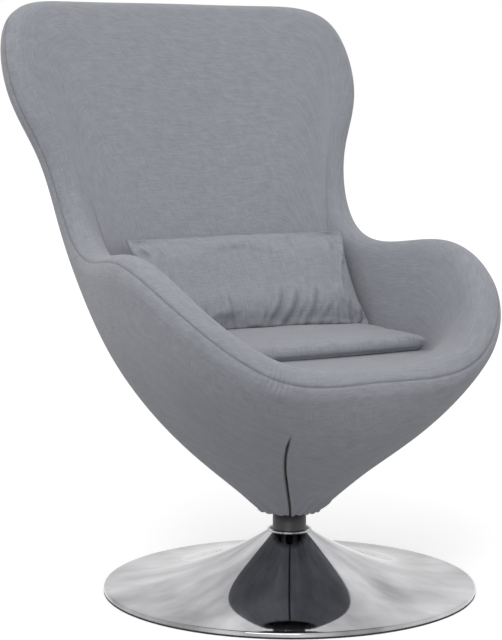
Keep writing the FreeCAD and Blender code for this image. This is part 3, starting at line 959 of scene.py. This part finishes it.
def foldLift(x, y, folds):
    # Creases between two points of the cushion's face, each with a soft ridge at both sides.
    lift = np.zeros_like(x)
    for (x0, y0), (x1, y1), depth, width in folds:
        run = np.array([x1 - x0, y1 - y0])
        length = np.linalg.norm(run)
        run = run / length
        along = ((x - x0) * run[0] + (y - y0) * run[1]) / length
        bow = foldForm["bow"] * np.sin(along * foldForm["bowTurns"] + x0)
        off = -(x - x0) * run[1] + (y - y0) * run[0] + bow
        ends = smooth(*foldForm["startFade"], along) * smooth(*foldForm["endFade"], along)
        ridges = bell(np.abs(off) - foldForm["ridgeAt"] * width, width)
        lift += depth * ends * (-bell(off, width) + foldForm["ridge"] * ridges)
    return lift


seatCushion = {
    "halfWidth": 209.0,
    "front": -104.0,
    "back": 146.0,
    "low": 385.35,
    "edge": 21.0,
    "crown": 3.6,
    "corner": 0.28,
    "drawnIn": 0.03,
    "cells": (84, 50, 7),
    "pressure": 4.0,
    "slack": 0.01,
    "stiffness": 1.2,
    "frames": 20,
    "cap": 3.5,
    "gap": 0.35,
    "gapReach": 12.0,
    "foldShade": 0.14,
    "seamHeight": 4.5,
    "seamDepth": 1.0,
    "seamWidth": 1.3,
    "wave": 0.5,
    "waveSize": 90.0,
    "topFrom": (-4.0, 6.0),  # folds fade in over these heights about the middle
}

# Creases of the seat cushion's top: two ends, depth and half width, in millimetres
seatFolds = [
    ((196, -60), (160, -48), 0.9, 4.0), ((188, -92), (158, -70), 1.1, 4.5),
    ((150, -104), (140, -78), 0.7, 4.0), ((-196, -60), (-160, -48), 0.9, 4.0),
    ((-188, -92), (-158, -70), 1.1, 4.5), ((20, -104), (14, -80), 0.5, 5.0),
    ((-90, -104), (-82, -84), 0.6, 5.0), ((92, -104), (84, -86), 0.6, 4.5),
]


def blockMesh(cells):
    # A cube whose faces are cut into even cells.
    bm = bmesh.new()
    bmesh.ops.create_cube(bm, size=2.0)
    for axis, count in enumerate(cells):
        edges = [e for e in bm.edges if abs(e.verts[0].co[axis] - e.verts[1].co[axis]) > 1e-4]
        bmesh.ops.subdivide_edges(bm, edges=edges, cuts=count - 1, use_grid_fill=True)
    return bm


def makeSeatCushion():
    form = seatCushion
    drawnIn, corner, low = form["drawnIn"], form["corner"], form["low"]
    half = form["edge"] / 2.0
    middle = low + half
    centreY, halfY = (form["front"] + form["back"]) / 2.0, (form["back"] - form["front"]) / 2.0
    bm = blockMesh(form["cells"])
    for vert in bm.verts:
        u, w, t = vert.co
        pull = half * (1.0 - math.cos(t * math.pi / 2.0))
        roundX, roundY = math.sqrt(1 - corner * w * w / 2), math.sqrt(1 - corner * u * u / 2)
        x = (form["halfWidth"] - pull) * u * (1 + drawnIn * w * w) * roundX
        y = (halfY - pull) * w * (1 + drawnIn * u * u) * roundY
        z = middle + half * math.sin(t * math.pi / 2.0)
        if t > 0.999:  # the top face is crowned
            z += form["crown"] * (1.0 - u ** 4) * (1.0 - w ** 4)
        vert.co = Vector((x, y + centreY, z)) * mm
    bmesh.ops.recalc_face_normals(bm, faces=bm.faces)
    piece = addPiece(
        "seat_pad", bm, fabric, "seat_cushion",
        ("seat_cushion_cover", "seat_cushion_filling"))
    inflate(piece, vertexArray(piece)[:, 2] < (low + 0.5) * mm, form)
    refine(piece)
    places, ways = vertexArray(piece), vertexWays(piece)
    x, y, z = (places / mm).T
    under, over = form["topFrom"]
    lift = foldLift(x, y, seatFolds) * smooth(middle + under, middle + over, z)
    # Painted shade in the creases of the top
    setPaintedShade(piece, form["foldShade"] * np.maximum(-lift, 0.0))
    seamRun = bell(z - (low + form["seamHeight"]), form["seamWidth"])
    lift -= form["seamDepth"] * seamRun * (np.abs(ways[:, 2]) < 0.9)
    waves = softWaves(np.stack([x, y, z], 1)[None], 3, form["waveSize"])[0]
    lift += form["wave"] * waves * smooth(middle, middle + 9.0, z)
    places = places + ways * (lift * mm)[:, None]
    places[:, 2] = np.maximum(places[:, 2], low * mm)
    setVertices(piece, places)
    keepClear(piece, [innerPanel], form["gap"], form["gapReach"])
    clothUv(piece.data)
    return piece


lumbarCushion = {
    "halfWidth": 200.0,
    "halfHeight": 74.0,
    "depth": 38.5,
    "frontY": 129.5,
    "seamBehind": 41.0,  # the seam lies this far behind the front
    "lean": 0.59,
    "bend": 44.0,
    "middle": 484.5,
    "drawnIn": 0.03,
    "fullness": 4.6,
    "lowFullness": 2.5,
    "belly": 7.0,
    "bellyAt": -0.36,
    "bellyHeight": 0.34,
    "cells": (96, 40),
    "pressure": 4.0,
    "slack": 0.025,
    "stiffness": 0.6,
    "frames": 22,
    "cap": 7.0,
    "gap": 0.5,
    "gapReach": 14.0,
    "seamDepth": 1.6,
    "seamShade": 0.35,
    "foldShade": 0.11,
    "underShade": 0.2,  # painted shade on the part of the front that turns under
    "underFrom": (-28.0, -70.0),
    "frontFrom": (0.5, 8.0),
    "wave": 0.7,
    "waveSize": 110.0,
}

# Creases of the lumbar cushion's front: two ends, depth and half width, in its own millimetres
lumbarFolds = [
    ((-34, -74), (-45, -18), 1.9, 4.6), ((-51, -74), (-62, -14), 1.2, 4.0),
    ((12, -74), (22, -40), 1.0, 4.0), ((24, -74), (58, -12), 2.2, 4.8),
    ((50, -74), (84, -16), 2.4, 5.0), ((70, -74), (92, -38), 1.1, 3.6),
    ((88, -74), (120, -14), 2.2, 4.8), ((118, -74), (138, -34), 1.4, 4.0),
    ((146, -74), (156, -40), 1.2, 3.6), ((172, -74), (177, -32), 2.0, 3.6),
    ((183, -76), (194, -50), 2.0, 3.2), ((196, -60), (176, -30), 0.9, 4.0),
    ((-90, -74), (-98, -30), 1.4, 4.4), ((-126, -74), (-128, -34), 1.5, 4.2),
    ((-160, -74), (-156, -40), 1.5, 4.0), ((-186, -74), (-176, -44), 1.8, 3.6),
    ((-150, 74), (-146, 48), 0.8, 4.0), ((-188, 74), (-172, 50), 1.5, 4.0),
    ((-60, 74), (-58, 54), 0.6, 4.0), ((30, 74), (34, 56), 0.6, 4.0),
    ((112, 74), (108, 54), 0.8, 4.0), ((184, 74), (172, 50), 1.4, 3.8),
    ((200, 30), (182, 26), 0.9, 3.6), ((-200, 30), (-182, 26), 0.9, 3.6),
]


def lumbarY(x, up, depth):
    # How far back a point of the cushion lies.
    form = lumbarCushion
    straight = form["frontY"] + form["seamBehind"] + up * form["lean"] - depth
    return straight - form["bend"] * (x / form["halfWidth"]) ** 2


def lumbarLocal(places):
    # Along, up and depth in the cushion's own millimetres.
    x, y, z = places.T / mm
    up = z - lumbarCushion["middle"]
    return x, up, lumbarY(x, up, 0.0) - y


def drawnToEnds(count, share):
    # Steps from -1 to 1, closer together towards both ends.
    even = np.linspace(-1.0, 1.0, count + 1)
    return np.sin(even * math.pi / 2.0) * share + even * (1.0 - share)


def makeLumbarCushion():
    form = lumbarCushion
    wide, high = form["cells"]
    side = drawnToEnds(high, 0.6)
    # Round the cushion: up its front, and down its back
    w = np.concatenate([side, side[-2::-1]])
    face = np.concatenate([np.ones(high + 1), -np.ones(high)])
    uu, ww = np.meshgrid(drawnToEnds(wide, 0.35), w, indexing="ij")
    x = form["halfWidth"] * uu * (1 + form["drawnIn"] * ww ** 2)
    up = form["halfHeight"] * ww * (1 + form["drawnIn"] * uu ** 2)
    upright = np.where(ww < 0, form["lowFullness"], form["fullness"])
    room = np.maximum(1 - np.abs(uu) ** form["fullness"], 0)
    room = room * np.maximum(1 - np.abs(ww) ** upright, 0)
    belly = form["belly"] * bell(ww - form["bellyAt"], form["bellyHeight"])
    belly = belly * (1 - uu ** 4) * (face[None] > 0)
    depth = form["depth"] * np.sqrt(room) * face[None] + belly * np.sqrt(room)
    y = lumbarY(x, up, depth)
    bm = gridMesh(np.stack([x, y, up + form["middle"]], 2) * mm)
    bmesh.ops.recalc_face_normals(bm, faces=bm.faces)
    piece = addPiece(
        "lumbar_pad", bm, fabric, "lumbar_cushion",
        ("lumbar_cushion_cover", "lumbar_cushion_filling"))
    inflate(piece, np.abs(lumbarLocal(vertexArray(piece))[2]) < 0.05, form)
    refine(piece)
    places, ways = vertexArray(piece), vertexWays(piece)
    x, up, depth = lumbarLocal(places)
    fromSeam = np.abs(depth)
    front = smooth(*form["frontFrom"], depth)
    lift = foldLift(x, up, lumbarFolds) * front
    # Painted shade in the creases, along the seam, and darker towards the bottom where the front
    # turns under
    paintedFoldShade = form["foldShade"] * np.maximum(-lift, 0.0)
    paintedUnderShade = form["underShade"] * smooth(*form["underFrom"], up) * front
    setPaintedShade(piece, paintedFoldShade + form["seamShade"] * bell(fromSeam, 1.4) + paintedUnderShade)
    lift += form["seamDepth"] * 0.5 * bell(fromSeam - 5.0, 2.4)
    lift -= form["seamDepth"] * bell(fromSeam, 1.6)
    waves = softWaves(np.stack([x, up, depth], 1)[None], 12, form["waveSize"])[0]
    lift += form["wave"] * waves * front
    setVertices(piece, places + ways * (lift * mm)[:, None])
    keepClear(piece, [innerPanel, seatPad], form["gap"], form["gapReach"])


seatPad = makeSeatCushion()
makeLumbarCushion()
print("cushions filled")


studio = {
    "floorReach": 14.0,
    "floorColor": (0.95, 0.95, 0.95, 1),
    "bounceColor": (0.42, 0.42, 0.42, 1),
    "floorLift": 0.25,
    "skyColor": (1.0, 1.0, 1.0, 1),
    "skyStrength": 0.85,
    "keyPosition": (-2.2, -2.4, 3.2),
    "keyTarget": (0.0, 0.0, 0.5),
    "keyPower": 60.0,
    "keySize": 2.2,
}


def seenDirectly(tree):
    # 1 for what the camera, a reflection or glass sees, and 0 for light that bounces.
    path = addNode(tree, "ShaderNodeLightPath")
    seen = calc(tree, "MAXIMUM", path.outputs["Is Camera Ray"], path.outputs["Is Glossy Ray"])
    return calc(tree, "MAXIMUM", seen, path.outputs["Is Transmission Ray"])


def makeFloor():
    bm = bmesh.new()
    bmesh.ops.create_grid(bm, x_segments=1, y_segments=1, size=studio["floorReach"])
    mesh = bpy.data.meshes.new("studio_floor")
    bm.to_mesh(mesh)
    bm.free()
    material, tree, shader = makeMaterial("floorPaint")
    seen = seenDirectly(tree)
    paint = addNode(tree, "ShaderNodeMix", data_type="RGBA")
    tree.links.new(seen, paint.inputs[0])
    paint.inputs[6].default_value = studio["bounceColor"]
    paint.inputs[7].default_value = studio["floorColor"]
    tree.links.new(paint.outputs[2], shader.inputs["Base Color"])
    shader.inputs["Roughness"].default_value = 1.0
    shader.inputs["Specular IOR Level"].default_value = 0.0
    shader.inputs["Emission Color"].default_value = (1, 1, 1, 1)
    glow = calc(tree, "MULTIPLY", seen, studio["floorLift"])
    tree.links.new(glow, shader.inputs["Emission Strength"])
    mesh.materials.append(material)
    floor = addObject("studio_floor", mesh)


def makeSky():
    scene = bpy.context.scene
    scene.world = scene.world or bpy.data.worlds.new("studio")
    scene.world.use_nodes = True
    tree = scene.world.node_tree
    background = tree.nodes["Background"]
    background.inputs["Color"].default_value = studio["skyColor"]
    strength = studio["skyStrength"]
    power = calc(tree, "MULTIPLY_ADD", seenDirectly(tree), 1.0 - strength, strength)
    tree.links.new(power, background.inputs["Strength"])


def makeKeyLight():
    data = bpy.data.lights.new("key", "AREA")
    data.size = studio["keySize"]
    data.energy = studio["keyPower"]
    light = addObject("key", data)
    light.location = studio["keyPosition"]
    way = Vector(studio["keyTarget"]) - Vector(studio["keyPosition"])
    light.rotation_euler = way.to_track_quat("-Z", "Y").to_euler()


camera = {
    "position": (-1.6065, -2.6114, 0.809),
    "pitchDown": 6.93,
    "heading": -30.44,
    "focalPixels": 1935.5,
    "imageHeight": 640,
    "sensor": 36.0,
    "farthest": 60.0,
}


def makeCamera():
    data = bpy.data.cameras.new("camera")
    data.lens = camera["focalPixels"] * camera["sensor"] / camera["imageHeight"]
    data.sensor_width = camera["sensor"]
    data.clip_end = camera["farthest"]
    shooter = addObject("camera", data)
    shooter.location = camera["position"]
    pitch, heading = math.radians(90.0 - camera["pitchDown"]), math.radians(camera["heading"])
    shooter.rotation_euler = (pitch, 0.0, heading)
    bpy.context.scene.camera = shooter


makeFloor()
makeSky()
makeKeyLight()
makeCamera()
bpy.context.scene.view_settings.view_transform = "Standard"
print("studio set")
